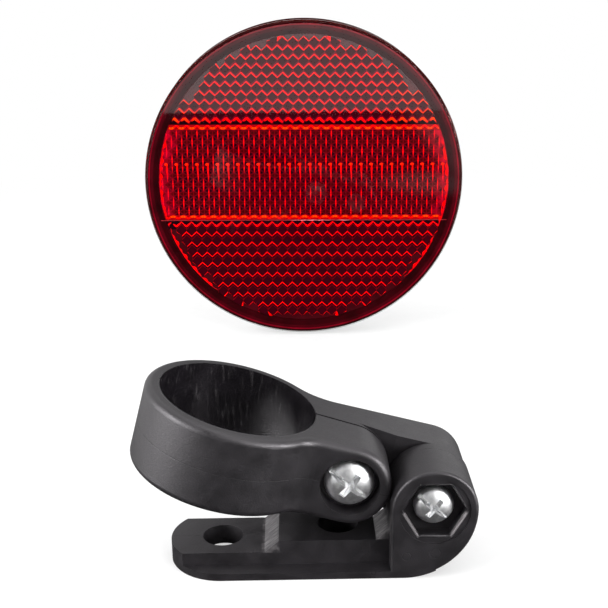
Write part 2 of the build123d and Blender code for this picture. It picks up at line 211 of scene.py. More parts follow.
def build_piece(name, points, faces, finish):
    """One object at the origin: points in metres, and groups of faces, one row of corners a face."""
    corners = np.concatenate([group.ravel() for group in faces]).astype(np.int32)
    sizes = np.concatenate([np.full(len(group), group.shape[1]) for group in faces])
    mesh = bpy.data.meshes.new(name)
    mesh.vertices.add(len(points))
    mesh.loops.add(len(corners))
    mesh.polygons.add(len(sizes))
    mesh.vertices.foreach_set("co", np.asarray(points, np.float32).ravel())
    mesh.loops.foreach_set("vertex_index", corners)
    mesh.polygons.foreach_set("loop_start", (np.cumsum(sizes) - sizes).astype(np.int32))
    mesh.update(calc_edges=True)
    mesh.materials.append(finish)
    piece = bpy.data.objects.new(name, mesh)
    bpy.context.scene.collection.objects.link(piece)
    return piece


def on_lens(points):
    """Points (across, up, depth behind the front), in millimetres from the lens axis, in the frame."""
    across, up, depth = points[..., 0], points[..., 1], points[..., 2]
    return np.stack((LENS_X + across * MM, LENS_FRONT + depth * MM, LENS_Z + up * MM), -1)


def turned(profile, steps):
    """A closed profile of (radius, depth) turned once round the lens axis.

    A profile point goes to (radius cos a, radius sin a, depth) for each angle a. The first and
    the last point lie on the axis and become one pole each."""
    profile = np.asarray(profile, float)
    angle = np.arange(steps) * 2 * np.pi / steps
    radius, depth = profile[1:-1, 0, None], profile[1:-1, 1, None]
    rings = np.stack(np.broadcast_arrays(radius * np.cos(angle), radius * np.sin(angle), depth), -1)
    poles = np.array([(0, 0, profile[0, 1]), (0, 0, profile[-1, 1])])
    points = np.concatenate([rings.reshape(-1, 3), poles])
    here = np.arange(steps)
    after = (here + 1) % steps
    level = np.arange(len(profile) - 3)[:, None] * steps
    sides = np.stack((level + here, level + after, level + steps + after, level + steps + here), -1)
    last = (len(profile) - 3) * steps
    first_cap = np.stack((np.full(steps, len(points) - 2), after, here), -1)
    last_cap = np.stack((np.full(steps, len(points) - 1), last + here, last + after), -1)
    return points, sides.reshape(-1, 4), np.concatenate([first_cap, last_cap])


def rounded(centre, radius, start, end, steps):
    """Points of an arc about centre from one angle to another, in degrees."""
    angle = np.radians(np.linspace(start, end, steps))
    return [(centre[0] + radius * c, centre[1] + radius * s) for c, s in zip(np.cos(angle), np.sin(angle))]


def ridged_face(corners, widths, lines, middle, core=None):
    """Splits a flat face into a strip along each edge and what is left in the middle.

    An edge is moved inwards by its width, which may differ at its two ends, and neighbouring
    moved edges meet in the middle's corners, in the plane of the first three corners. With a core,
    (share, colour), the middle shrinks about its centre to that share and takes that colour, and
    what lies between keeps the middle's colour at its outer side."""
    corners = np.asarray(corners, float)
    count = len(corners)
    after = np.roll(corners, -1, axis=0)
    along = after[:, :2] - corners[:, :2]
    reach = np.linalg.norm(along, axis=1, keepdims=True)
    turn = np.sign(np.sum(corners[:, 0] * after[:, 1] - corners[:, 1] * after[:, 0]))
    inward = turn * np.stack((-along[:, 1], along[:, 0]), 1) / reach
    widths = np.asarray(widths, float)
    start = corners[:, :2] + inward * widths[:, :1]
    run = after[:, :2] + inward * widths[:, 1:] - start
    before, before_run = np.roll(start, 1, axis=0), np.roll(run, 1, axis=0)
    cross = before_run[:, 0] * run[:, 1] - before_run[:, 1] * run[:, 0]
    gap = start - before
    share = (gap[:, 0] * run[:, 1] - gap[:, 1] * run[:, 0]) / cross
    inner = before + before_run * share[:, None]
    plane = np.linalg.solve(np.c_[corners[:3, :2], np.ones(3)], corners[:3, 2])
    inner = np.c_[inner, inner @ plane[:2] + plane[2]]
    points, faces, colours = np.concatenate([corners, inner]), [], []
    for edge in range(count):
        far = (edge + 1) % count
        if widths[edge].max() > 0:
            near_tint, far_tint = lines[edge]
            faces += [(edge, far, count + far), (edge, count + far, count + edge)]
            colours += [(near_tint, far_tint, far_tint), (near_tint, far_tint, near_tint)]
    first, inmost = count, middle
    if core:
        centre = inner.mean(axis=0)
        points = np.concatenate([points, centre + (inner - centre) * core[0]])
        first, inmost = 2 * count, core[1]
        for edge in range(count):
            far = (edge + 1) % count
            faces += [(count + edge, count + far, first + far), (count + edge, first + far, first + edge)]
            colours += [(middle, middle, inmost), (middle, inmost, inmost)]
    for corner in range(1, count - 1):
        faces.append((first, first + corner, first + corner + 1))
        colours.append((inmost, inmost, inmost))
    return points, np.array(faces), np.array([[shade[:3] for shade in face] for face in colours])


def joined(parts):
    """Several (points, triangles, colours) as one, with the triangles counted on."""
    offset = np.cumsum([0] + [len(points) for points, _, _ in parts[:-1]])
    points = np.concatenate([part[0] for part in parts])
    faces = np.concatenate([part[1] + start for part, start in zip(parts, offset)])
    return points, faces, np.concatenate([part[2] for part in parts])


def laid_out(cell, centres):
    """One cell's (points, triangles, colours) repeated at each centre (across, up)."""
    points, faces, colours = cell
    moved = points[None] + np.c_[centres, np.zeros(len(centres))][:, None]
    counted = faces[None] + (np.arange(len(centres)) * len(points))[:, None, None]
    return moved.reshape(-1, 3), counted.reshape(-1, 3), np.tile(colours, (len(centres), 1, 1))


def spin(points, faces):
    """Twice each triangle's area as seen along the lens axis, below 0 where it turns clockwise."""
    a, b, c = (points[faces[:, corner], :2] for corner in range(3))
    return (b[:, 0] - a[:, 0]) * (c[:, 1] - a[:, 1]) - (b[:, 1] - a[:, 1]) * (c[:, 0] - a[:, 0])


def rotated(points, turn):
    """Points turned by an angle about the third direction."""
    across = points[:, 0] * np.cos(turn) - points[:, 1] * np.sin(turn)
    up = points[:, 0] * np.sin(turn) + points[:, 1] * np.cos(turn)
    return np.stack((across, up, points[:, 2]), -1)


def kept_within(surface, low, high, radius):
    """Draws points past a zone's borders back onto them, and points past the circle onto it.

    Triangles that are left without an area are dropped."""
    points, faces, colours = surface
    points = points.copy()
    points[:, 1] = np.clip(points[:, 1], low, high)
    length = np.hypot(points[:, 0], points[:, 1])
    limit = np.sqrt(np.maximum(radius**2 - points[:, 1] ** 2, 0))
    points[:, 0] = np.where(length > radius, np.sign(points[:, 0]) * limit, points[:, 0])
    real = np.abs(spin(points, faces)) > 1e-6
    return points, faces[real], colours[real]


def lattice(first, row, rows, pitch, reach):
    """Centres of rows of cells, every other row half a pitch aside, first being (across, up)."""
    level = np.arange(rows)[:, None]
    column = np.arange(-int(reach / pitch) - 2, int(reach / pitch) + 3)[None]
    across = first[0] + (column + level % 2 / 2) * pitch
    up = np.broadcast_to(first[1] + level * row, across.shape)
    return np.stack((across, up), -1).reshape(-1, 2)


def tilted_prism(size, colours, row, point_up):
    """One prism of the outer zones about its centre: four narrow facets and one big diamond.

    The outline is a hexagon with a low zigzag at top and bottom. The diamond reaches from the
    lower zigzag up to a crease under the upper one, or the other way round where the prism is
    turned over."""
    half, rise = size.column_pitch / MM / 2, size.zigzag_height / MM
    relief = size.relief / MM
    if point_up:
        flip, crease, width, slimness, narrow = 1, size.lower_crease, size.lower_line, 2.6, colours.shade
    else:
        flip, crease, width, slimness, narrow = -1, size.upper_crease, size.upper_line, 3.4, colours.lit_narrow_facet
    middle = (row + rise) / 2
    top = (0, flip * middle, 0.45 * relief)
    near, far = middle - rise, middle - row
    turn_off = far + 0.4 * (near - far)
    right, low_right = (half, flip * near, 0), (half, flip * far, 0.45 * relief)
    left, low_left = (-half, right[1], 0), (-half, low_right[1], 0.45 * relief)
    side_right, side_left = ((edge, flip * turn_off, 0.3 * relief) for edge in (half, -half))
    bottom = (0, -flip * middle, 0)
    point = (0, flip * (middle - crease / MM), relief)
    bold, thin, faint = width / MM / 2, width / MM / slimness, size.faint_line / MM / 2
    falling, rising = (bold, thin) if point_up else (thin, bold)
    none, thread = (0, 0), (faint, faint)
    # The lit and dim lines are painted highlights, the diamond's dark tones are painted shade, and the narrow
    # facets carry painted light and shade.
    lit, dim = (colours.bright, colours.bright), (colours.faint, colours.faint)
    core = (0.72, scaled(colours.facet, 1.25))
    faces = [
        ridged_face((point, top, right, side_right), (none, (falling, falling), thread, thread),
                    (dim, lit, dim, dim), narrow),
        ridged_face((point, side_right, low_right, bottom, low_left, side_left),
                    (thread, thread, (rising, rising), (falling, falling), thread, thread),
                    (dim, dim, lit, lit, dim, dim), scaled(colours.facet, 0.7), core),
        ridged_face((point, side_left, left, top), (thread, thread, (rising, rising), none),
                    (dim, dim, lit, dim), narrow),
    ]
    return joined(faces)


def upright_prism(size, colours, row):
    """One prism of the middle band: a hexagon of six facets about its point.

    The edge from the point to the top corner, and the upright sides, are lit and swell towards the corner
    where they meet. The facets beside them have small dark middles of painted shade."""
    half, rise, relief = size.column_pitch / MM / 2, row / 3, size.relief / MM
    high, side = (row + rise) / 2, (row - rise) / 2
    point = (0, 0, relief)
    outline = [(0, high, relief / 2), (half, side, 0), (half, -side, relief / 2),
               (0, -high, 0), (-half, -side, relief / 2), (-half, side, 0)]
    swell, slim, faint = 0.145, 0.06, size.faint_line / MM / 2
    lit, ember, dim, dull = colours.bright, colours.ember, colours.faint, colours.mesh
    thin = (faint, faint)
    lit_edges = {0: (0, True), 1: (1, True), 4: (1, False), 5: (2, False)}  # facet: edge, swelling along it
    faces = []
    for side_index in range(6):
        a, b = outline[side_index], outline[(side_index + 1) % 6]
        widths, lines = [thin, thin, thin], [(dim, dim)] * 3
        if side_index in lit_edges:
            edge, growing = lit_edges[side_index]
            widths[edge] = (slim, swell) if growing else (swell, slim)
            lines[edge] = (ember, lit) if growing else (lit, ember)
        share = 0.45 if side_index in (2, 3) else 0.8
        # Painted shade: the dark middle of each facet, smaller and less dark on the two lower ones.
        shaded_middle = scaled(dull, 0.35) if side_index in (2, 3) else colours.shaded_middle
        faces.append(ridged_face((point, a, b), widths, lines, scaled(dull, 0.75), (share, shaded_middle)))
    return joined(faces)


def stroke(line, widths, level, shades):
    """A level ribbon along a line: each point moved to both sides by half its width."""
    line, widths = np.asarray(line, float), np.asarray(widths, float)
    along = np.gradient(line, axis=0)
    along /= np.linalg.norm(along, axis=1, keepdims=True)
    aside = np.stack((-along[:, 1], along[:, 0]), 1) * widths[:, None] / 2
    count = len(line)
    edges = np.stack((line + aside, line - aside), 1).reshape(-1, 2)
    points = np.c_[edges, np.full(2 * count, level)]
    step = np.arange(count - 1)[:, None] * 2
    faces = np.concatenate([step + (0, 2, 3), step + (0, 3, 1)])
    return points, faces, np.repeat(np.asarray(shades, float), 2, axis=0)[faces]


def mixed(share, first, second):
    """Colours between first and second, one for each share."""
    share = np.asarray(share)[:, None]
    return (1 - share) * np.array(first[:3]) + share * np.array(second[:3])


def lit_bow(size, colours, sag, level):
    """One bow of the band's border: up = sag (x / half)^2, with two painted yellow-orange glints in its
    middle.
    """
    half = size.column_pitch / MM / 2
    across = np.linspace(-1, 1, 17)
    glint_share = 0.12 * np.clip(1.2 - 1.8 * np.abs(across), 0, 1)
    glint_share += 0.4 * np.clip(1 - np.abs(np.abs(across) - 0.27) / 0.15, 0, 1)
    widths = 0.46 * (1 - 0.4 * across**2)
    return stroke(np.c_[across * half, sag * across**2], widths, level,
                  mixed(glint_share, colours.bright, colours.amber_glint))


def chevron(size, colours, rise, width, level, flip):
    """One thick stroke of a border's zigzag: up to its corner and down again, the right leg longer."""
    half = size.column_pitch / MM / 2
    across = np.array((-0.62, -0.3, -0.06, 0.06, 0.45, 0.98)) * half
    up = flip * rise * (1 - np.abs(across) / half)
    # Painted highlight: the stroke is brightest near its corner and dull at its ends.
    glint_share = np.array((0.1, 0.9, 1.0, 1.0, 0.9, 0.3))
    return stroke(np.c_[across, up], width * np.array((0.5, 0.95, 1, 1, 1, 0.7)), level,
                  mixed(glint_share, colours.ember, colours.bright))


def plain_strip(low, high, radius, level, colour, columns=48):
    """A level strip across the whole field between two heights, cut to the circle."""
    across = np.linspace(-radius, radius, columns + 1)
    up = np.tile((low, high), columns + 1)
    points = np.stack((np.repeat(across, 2), up, np.full_like(up, level)), -1)
    step = np.arange(columns)[:, None] * 2
    faces = np.concatenate([step + (0, 2, 3), step + (0, 3, 1)])
    return points, faces, np.broadcast_to(np.array(colour[:3]), (len(faces), 3, 3))


def painted_edge_glints(surface, colours, start, radius):
    """Painted glints: facets that get redder, in patches, towards the left and right ends of the middle band.
    """
    points, faces, shades = surface
    middle = points[faces].mean(axis=1)
    share = np.clip((np.hypot(middle[:, 0], middle[:, 1]) - start) / (radius - start), 0, 1) ** 1.5
    patch = 0.5 + 0.5 * np.sin(middle[:, 0] * 2.1 + 1) * np.sin(middle[:, 1] * 1.3 + np.sign(middle[:, 0]))
    share = (share * patch * 0.65)[:, None, None]
    return points, faces, shades * (1 - share) + np.array(colours.edge_glint) * share


def lit_side(colours, radius, start, end, level):
    """A lit line along the field's edge between two angles, in degrees, of uneven width."""
    angle = np.radians(np.linspace(start, end, max(int((end - start) * 2.5), 8)))
    swell = 0.5 + 0.5 * np.sin(angle * 31) * np.sin(angle * 83 + 2)
    fade = np.clip(np.minimum(angle - angle[0], angle[-1] - angle) / np.radians(4), 0.1, 1)
    line = np.c_[np.cos(angle), np.sin(angle)] * (radius - 0.3 * swell[:, None])
    return stroke(line, (0.12 + 0.6 * swell) * fade, level,
                  mixed(1 - swell * fade, colours.bright, colours.ember))


def warmed(points, faces, shades):
    """The lit strokes near the top zone's left and right ends turn orange."""
    place = points[faces]
    share = np.clip((np.abs(place[..., 0] + 3) - 19) / 10, 0, 1) * (place[..., 1] > 14)
    share = share * np.clip((30 - place[..., 1]) / 8, 0, 1) * (shades[..., 0] > 0.6)
    warm = shades.copy()
    warm[..., 1] = np.maximum(warm[..., 1], 0.035 * share)
    return warm


def whole_cells(centres, reach_across, reach_up, low, high, radius):
    """The centres whose whole cell lies inside the circle and between two heights."""
    far = np.hypot(np.abs(centres[:, 0]) + reach_across, np.abs(centres[:, 1]) + reach_up * 0.35)
    held = (far < radius) & (centres[:, 1] + reach_up > low) & (centres[:, 1] - reach_up < high)
    return centres[held]


def outer_zones(size, colours, pitch, radius):
    """The tilted prisms over and under the middle band, in whole cells."""
    zones = []
    for row, first, before, rows, low, high, keep, point_up in (
            (size.upper_row / MM, (-1.32, 16.62), 2, 12, 16.5, radius, (UPPER_START, radius), False),
            (size.lower_row / MM, (-0.41 + pitch / 2, -13.31), 9, 10, -radius - 1, -9.4,
             (-radius, LOWER_END), True)):
        reach = (row + size.zigzag_height / MM) / 2
        centres = lattice((first[0], first[1] + reach - before * row), row, rows, pitch, radius)
        centres = whole_cells(centres, pitch / 2, reach, low, high, radius + 0.3)
        cells = laid_out(tilted_prism(size, colours, row, point_up), centres)
        zones.append(kept_within(cells, *keep, radius))
    return zones


def middle_band(size, colours, pitch, radius):
    """The upright prisms of the middle band, in two fields that meet along a seam."""
    row = size.middle_row / MM
    reach = (row + row / 3) / 2
    cell = upright_prism(size, colours, row)
    over = lattice((0.36 + pitch / 2, 5.43 - reach - row), row, 6, pitch, radius)
    under = lattice((0.36 + pitch / 2, -7.2 - reach), row * 1.02, 8, pitch, radius)
    return [painted_edge_glints(kept_within(laid_out(cell, centres), low, high, radius), colours, 30.5, radius)
            for centres, low, high in ((over, BAND_SEAM, BAND_HIGH), (under, BAND_LOW, BAND_SEAM))]


def lit_rows(size, colours, pitch, radius, above, over):
    """The lit rows along the band's two borders and on its seam, at two levels.

    Each row is a cell with the place of its middle one and the heights that it is kept between."""
    stem = stroke([(0, 4.2), (0, 3.0), (0, 1.6)], [0.3, 0.36, 0.2], above,
                  mixed([0, 0, 1], colours.bright, colours.ember))
    dot = stroke([(-0.45, 0), (-0.25, 0), (0, 0.05), (0.25, 0), (0.45, 0)], [0.15, 0.5, 0.58, 0.5, 0.15],
                 over, mixed([0, 0.05, 0.1, 0.05, 0], colours.bright, colours.amber_glint))
    rows = ((lit_bow(size, colours, 0.8, over), 0.41, 13.08, 12.5, 13.9),
            (lit_bow(size, colours, -0.55, over), 0.15, -8.28, -9.2, -7.8),
            (chevron(size, colours, 1.15, 0.5, above, 1), -1.32, 14.35, 14.05, 16.2),
            (chevron(size, colours, 1.05, 0.4, above, -1), 0.85, -9.72, -11.4, -9.35),
            (dot, 1.34, 4.46, 3.9, 5.0), (stem, 1.5, 0.1, 1.5, 4.4))
    columns = np.arange(-15, 16) * pitch
    return [kept_within(laid_out(cell, np.stack((across + columns, np.full_like(columns, up)), -1)),
                        low, high, radius - 0.3) for cell, across, up, low, high in rows]


def level_strips(colours, radius, relief):
    """The dark and the dull red strips that the lit rows lie on."""
    shade, ember = colours.shade, colours.ember
    strips = ((14.05, 15.9, 0.15, shade), (13.88, 14.05, 0.15, scaled(shade, 0.6)),
              (12.6, 13.88, 0.3, scaled(ember, 0.75)), (-9.2, -8.0, 0.3, scaled(ember, 0.8)),
              (-11.6, -9.35, 0.12, shade))
    return [kept_within(plain_strip(low, high, radius, relief * level, tone), low, high, radius)
            for low, high, level, tone in strips]


def mould_line(colours, radius, level):
    """The thin uneven line under the middle band, up = -9.27 + 0.03 sin 3x, pale in two places."""
    across = np.linspace(-radius + 0.2, radius - 0.2, 180)
    uneven = 0.55 + 0.45 * np.sin(across * 2.3) * np.sin(across * 5.1 + 1)
    pale = 0.12 + 0.85 * np.exp(-((across - 1.5) / 4.5) ** 4) * uneven
    pale = np.clip(pale + 0.5 * np.exp(-((across - 9.6) / 1.2) ** 2), 0, 1)
    return stroke(np.c_[across, -9.27 + 0.03 * np.sin(across * 3)], 0.1 + 0.16 * pale, level,
                  mixed(pale, scaled(colours.ember, 0.8), colours.scar))


def head_surface(settings, diameter, height, thread, grip, nut_start, nut_end, length):
    """A pan head screw about its axis: x along the slot, y across it, z out of the head.

    The grid's rows are straight lines y = const. Along a row x runs from -X to X, where
    X = sqrt(R^2 - y^2), and on past X the same row goes down the head's side, in to the shank
    and along it to the middle of its end. Over the head z = crown - the slot - the cross."""
    radius = diameter / 2
    slot, wing = settings.slot_width * diameter / 2, settings.wing_width * diameter / 2
    reach = settings.wing_length * diameter
    slant = 0.035  # half the width of a cut's slanted side
    core = 0.62 * radius  # the part of a row that holds the cross
    dome = 0.55 * height  # how far the crown rises over the head's edge
    cuts = np.array((wing - slant, wing + slant, reach - slant, reach + slant))

    def both_sides(*values):
        """Values from 0 up, in order and without doubles, and their negatives before them."""
        values = np.unique(np.round(np.concatenate(values), 4))
        return np.concatenate([-values[::-1], values[1:]])

    def inside(value, bound):
        """1 where a value is smaller than a bound on either side of 0, slanting down to 0."""
        return np.clip((bound + slant - np.abs(value)) / (2 * slant), 0, 1)

    rows = both_sides((0, slot - slant, slot + slant), cuts, np.linspace(0, reach, 18),
                      radius * np.sin(np.linspace(0, np.pi / 2, 44))[1:-1])
    rows = np.concatenate([[-radius], rows, [radius]])
    share = both_sides(np.linspace(0, 1, 30), cuts / core * 0.5)
    limit = np.sqrt(np.maximum(radius**2 - rows**2, 0))[:, None]
    inner = core * np.minimum(1, limit / (0.75 * radius))
    size = np.abs(share)[None]
    across = np.where(size < 0.5, size / 0.5 * inner, inner + (size - 0.5) / 0.5 * (limit - inner))
    across = across * np.sign(share)
    up = np.broadcast_to(rows[:, None], across.shape)
    out = np.hypot(across, up) / radius
    ball = (radius**2 + dome**2) / (2 * dome)
    crown = height - ball + np.sqrt(ball**2 - (out * radius) ** 2)
    crown -= 0.12 * height * np.clip((out - 0.86) / 0.14, 0, 1) ** 2
    slot_floor = height * (1 - settings.slot_depth)
    z = crown - inside(up, slot) * np.maximum(crown - slot_floor, 0)
    for along, aside in ((across, up), (up, across)):
        floor = height * (0.72 - 0.5 * np.clip(1.15 - np.abs(along) / reach, 0, 1))
        held = inside(aside, wing) * inside(along, reach)
        z = np.minimum(z, crown - held * np.maximum(crown - floor, 0))
    shank, gripped = thread / diameter, grip / diameter
    outside = [(1.0, 0.0), (shank, 0.0), (shank, -nut_start), (gripped, -nut_start), (gripped, -nut_end)]
    if length - nut_end > 0.5:
        outside += [(shank, -nut_end), (shank, 0.1 * thread - length)]
    outside += [(gripped * 0.85, -length), (0.0, -length)]
    angle = np.arcsin(np.clip(rows / radius, -1, 1))
    right = [np.stack((radius * s * np.cos(angle), radius * s * np.sin(angle), np.full(len(rows), d)), -1)
             for s, d in outside]
    left = [points * (-1, 1, 1) for points in right]
    grid = np.stack([*left[::-1], *np.moveaxis(np.stack((across, up, z), -1), 1, 0), *right], 1)
    count_up, count_across = grid.shape[:2]
    corner = (np.arange(count_up - 1)[:, None] * count_across + np.arange(count_across - 1)).reshape(-1, 1)
    return grid.reshape(-1, 3), corner + (0, 1, count_across + 1, count_across)


def hex_lip(flats, depth, width):
    """A six-sided ring inside a pocket's mouth, three-cornered in section, its inner face slanted.

    Corner k of a hexagon of flats F lies at (F / sqrt 3) (cos 60k, sin 60k)."""
    angle = np.radians(np.arange(6) * 60)
    reach = np.array((flats, flats, flats - 2 * width)) / np.sqrt(3)
    level = np.array((0, depth, depth))
    points = np.stack((reach[:, None] * np.cos(angle), reach[:, None] * np.sin(angle),
                       np.broadcast_to(level[:, None], (3, 6))), -1)
    ring, corner = np.arange(3)[:, None], np.arange(6)[None]
    next_ring, next_corner = (ring + 1) % 3, (corner + 1) % 6
    faces = np.stack((ring * 6 + corner, ring * 6 + next_corner,
                      next_ring * 6 + next_corner, next_ring * 6 + corner), -1)
    return points.reshape(-1, 3), faces.reshape(-1, 4)


def smoothed(piece, sharp):
    """Shades a piece smooth but for the edges that turn by more than an angle in degrees."""
    piece.data.shade_smooth()
    piece.data.set_sharp_from_angle(angle=np.radians(sharp))


def weld(piece):
    """Joins points that lie on each other and turns every face outwards."""
    mesh = bmesh.new()
    mesh.from_mesh(piece.data)
    bmesh.ops.remove_doubles(mesh, verts=mesh.verts, dist=1e-7)
    bmesh.ops.dissolve_degenerate(mesh, edges=mesh.edges, dist=1e-7)
    bmesh.ops.recalc_face_normals(mesh, faces=mesh.faces)
    mesh.to_mesh(piece.data)
    mesh.free()


# ---------------------------------------------------------------- finishes


def opaque(colour):
    """A colour with full alpha."""
    return (*colour[:3], 1.0)


def scaled(colour, share):
    """A colour made darker or lighter by a factor, with full alpha."""
    return (*(min(channel * share, 1.0) for channel in colour[:3]), 1.0)


class Finish:
    """A node material whose nodes are added, filled and wired up one by one.

    place is the piece's own coordinates, in metres, which move with it. An input's value is a
    number, a tuple or another node's socket."""

    def __init__(self, name):
        self.material = bpy.data.materials.new(name)
        self.material.use_nodes = True
        self.tree = self.material.node_tree
        self.shader = self.tree.nodes["Principled BSDF"]
        self.place = self.add("ShaderNodeTexCoord").outputs["Object"]

    def fill(self, node, inputs):
        """Sets a node's inputs, by name or number."""
        for key, value in inputs.items():
            if isinstance(value, bpy.types.NodeSocket):
                self.tree.links.new(value, node.inputs[key])
            else:
                node.inputs[key].default_value = value
        return node

    def add(self, kind, inputs=None, **settings):
        """A new node with its own settings and its inputs."""
        node = self.tree.nodes.new(kind)
        for key, value in settings.items():
            setattr(node, key, value)
        return self.fill(node, inputs or {})

    def finished(self, inputs):
        """Fills the Principled shader and hands out the material."""
        self.fill(self.shader, inputs)
        return self.material

    def shown(self, share, first, second):
        """Shows a mixture of two shaders, and hands out the material."""
        both = self.add("ShaderNodeMixShader", {0: share, 1: first.outputs[0], 2: second.outputs[0]})
        self.fill(self.tree.nodes["Material Output"], {"Surface": both.outputs[0]})
        return self.material

    def math(self, operation, first, second=0.0):
        """Arithmetic on one or two values."""
        return self.add("ShaderNodeMath", {0: first, 1: second}, operation=operation).outputs[0]

    def times(self, first, second):
        return self.math("MULTIPLY", first, second)

    def plus(self, first, second):
        return self.math("ADD", first, second)

    def minus(self, first, second):
        return self.math("SUBTRACT", first, second)

    def most(self, first, *others):
        """The largest of several values."""
        for other in others:
            first = self.math("MAXIMUM", first, other)
        return first

    def vector(self, operation, first, second=(0, 0, 0)):
        """Vector arithmetic, whose result is a number for lengths, distances and dot products."""
        node = self.add("ShaderNodeVectorMath", {0: first, 1: second}, operation=operation)
        return node.outputs["Value" if operation in ("LENGTH", "DISTANCE", "DOT_PRODUCT") else "Vector"]

    def mapped(self, **inputs):
        """The own coordinates moved by Location or stretched by Scale."""
        return self.add("ShaderNodeMapping", {"Vector": self.place, **inputs}).outputs[0]

    def parts(self):
        """The outputs X, Y and Z of the own coordinates."""
        return self.add("ShaderNodeSeparateXYZ", {"Vector": self.place}).outputs

    def noise(self, size, detail, place=None):
        """Cloudy noise whose spots are about size across, in metres, from 0 to 1."""
        place = self.place if place is None else place
        cloud = self.add("ShaderNodeTexNoise", {"Vector": place, "Scale": 1 / size, "Detail": detail})
        return cloud.outputs["Fac"]

    def ramp(self, value, stops):
        """A smooth run of colours: stops are (position, colour)."""
        node = self.add("ShaderNodeValToRGB", {"Fac": value})
        band = node.color_ramp
        while len(band.elements) < len(stops):
            band.elements.new(1.0)
        for element, (position, colour) in zip(band.elements, stops):
            element.position, element.color = position, opaque(colour)
        return node.outputs["Color"]

    def spread(self, value, low, high, out_low=0.0, out_high=1.0, easing="SMOOTHSTEP"):
        """A value that goes from out_low to out_high as it goes from low to high."""
        return self.add("ShaderNodeMapRange", {
            "Value": value, "From Min": low, "From Max": high, "To Min": out_low, "To Max": out_high},
            interpolation_type=easing).outputs[0]

    def within(self, value, low, high, soft):
        """1 where a value lies between two bounds, eased over soft at each, and 0 outside."""
        return self.times(self.spread(value, low - soft, low + soft),
                          self.spread(value, high - soft, high + soft, 1.0, 0.0))

    def blended(self, share, first, second, kind="MIX"):
        """Two colours mixed by a share."""
        return self.add("ShaderNodeMix", {0: share, 6: first, 7: second},
                        data_type="RGBA", blend_type=kind).outputs[2]

    def clouded(self, colour, low, high):
        """A colour times a cloudy grey from low to high."""
        cloud = self.ramp(self.noise(5 * MM, 3.0), [(0.3, (low,) * 3), (0.7, (high,) * 3)])
        return self.blended(1.0, colour, cloud, "MULTIPLY")

    def bumps(self, height, strength, distance):
        """A surface direction disturbed by a height."""
        bump = self.add("ShaderNodeBump", {"Strength": strength, "Distance": distance, "Height": height})
        return bump.outputs[0]

    def from_axis(self, inner, outer):
        """How far a place lies from the lens axis: 0 at one radius and 1 at another, in millimetres."""
        flat = self.vector("MULTIPLY", self.mapped(Location=(-LENS_X, 0, -LENS_Z)), (1, 0, 1))
        return self.spread(self.vector("LENGTH", flat), inner * MM, outer * MM, easing="LINEAR")


def ring_mark(finish, apart, x, z, inner, outer):
    """A ring on the part's front, between two radii about (x, z), in millimetres."""
    aside, up = finish.minus(apart["X"], x * MM), finish.minus(apart["Z"], z * MM)
    flat = finish.add("ShaderNodeCombineXYZ", {"X": aside, "Z": up}).outputs[0]
    front = finish.spread(apart["Y"], -7.9 * MM, -7.6 * MM, 1.0, 0.0)
    ring = finish.within(finish.vector("LENGTH", flat), inner * MM, outer * MM, 0.06 * MM)
    return finish.times(ring, front)


def clamp_wear(finish):
    """On the clamp: its parting line, its bore's scratches, and 1 inside the bore."""
    centred = finish.vector("SUBTRACT", finish.place, BAND_CENTRE)
    height = finish.vector("DOT_PRODUCT", centred, BAND_AXIS)
    reach = finish.vector("LENGTH", finish.vector("CROSS_PRODUCT", centred, BAND_AXIS))
    seam = finish.times(finish.within(height, -0.05 * MM, 0.05 * MM, 0.05 * MM),
                        finish.spread(reach, 13.5 * MM, 14 * MM))
    inside = finish.spread(reach, 12.8 * MM, 13.1 * MM, 1.0, 0.0)
    scratch = finish.noise(0.5 * MM, 4.0, finish.mapped(Scale=(1, 1, 0.12)))
    return seam, finish.times(inside, finish.spread(scratch, 0.52, 0.8, 0.0, 0.22)), inside


def foot_wear(finish, apart, waver):
    """On the foot: its parting line, the scuffs on its two steps, and its round mould marks."""
    drift = finish.plus(apart["Y"], finish.times(finish.minus(waver, 0.5), 0.7 * MM))
    seam = finish.within(drift, -0.05 * MM, 0.05 * MM, 0.05 * MM)
    scratch = finish.noise(0.8 * MM, 5.0, finish.mapped(Scale=(0.35, 2.2, 0.35)))
    edge = finish.plus(apart["X"], finish.times(waver, 0.9 * MM))
    steps = [finish.times(finish.within(edge, start * MM, end * MM, soft * MM),
                          finish.spread(apart["Z"], low * MM, (low + 0.3) * MM))
             for start, end, soft, low in FOOT_STEPS]
    scuff = finish.times(finish.most(*steps), finish.spread(scratch, 0.35, 0.75, 0.08, 0.95))
    return seam, scuff, finish.most(*(ring_mark(finish, apart, *ring) for ring in BOOT_MARKS))


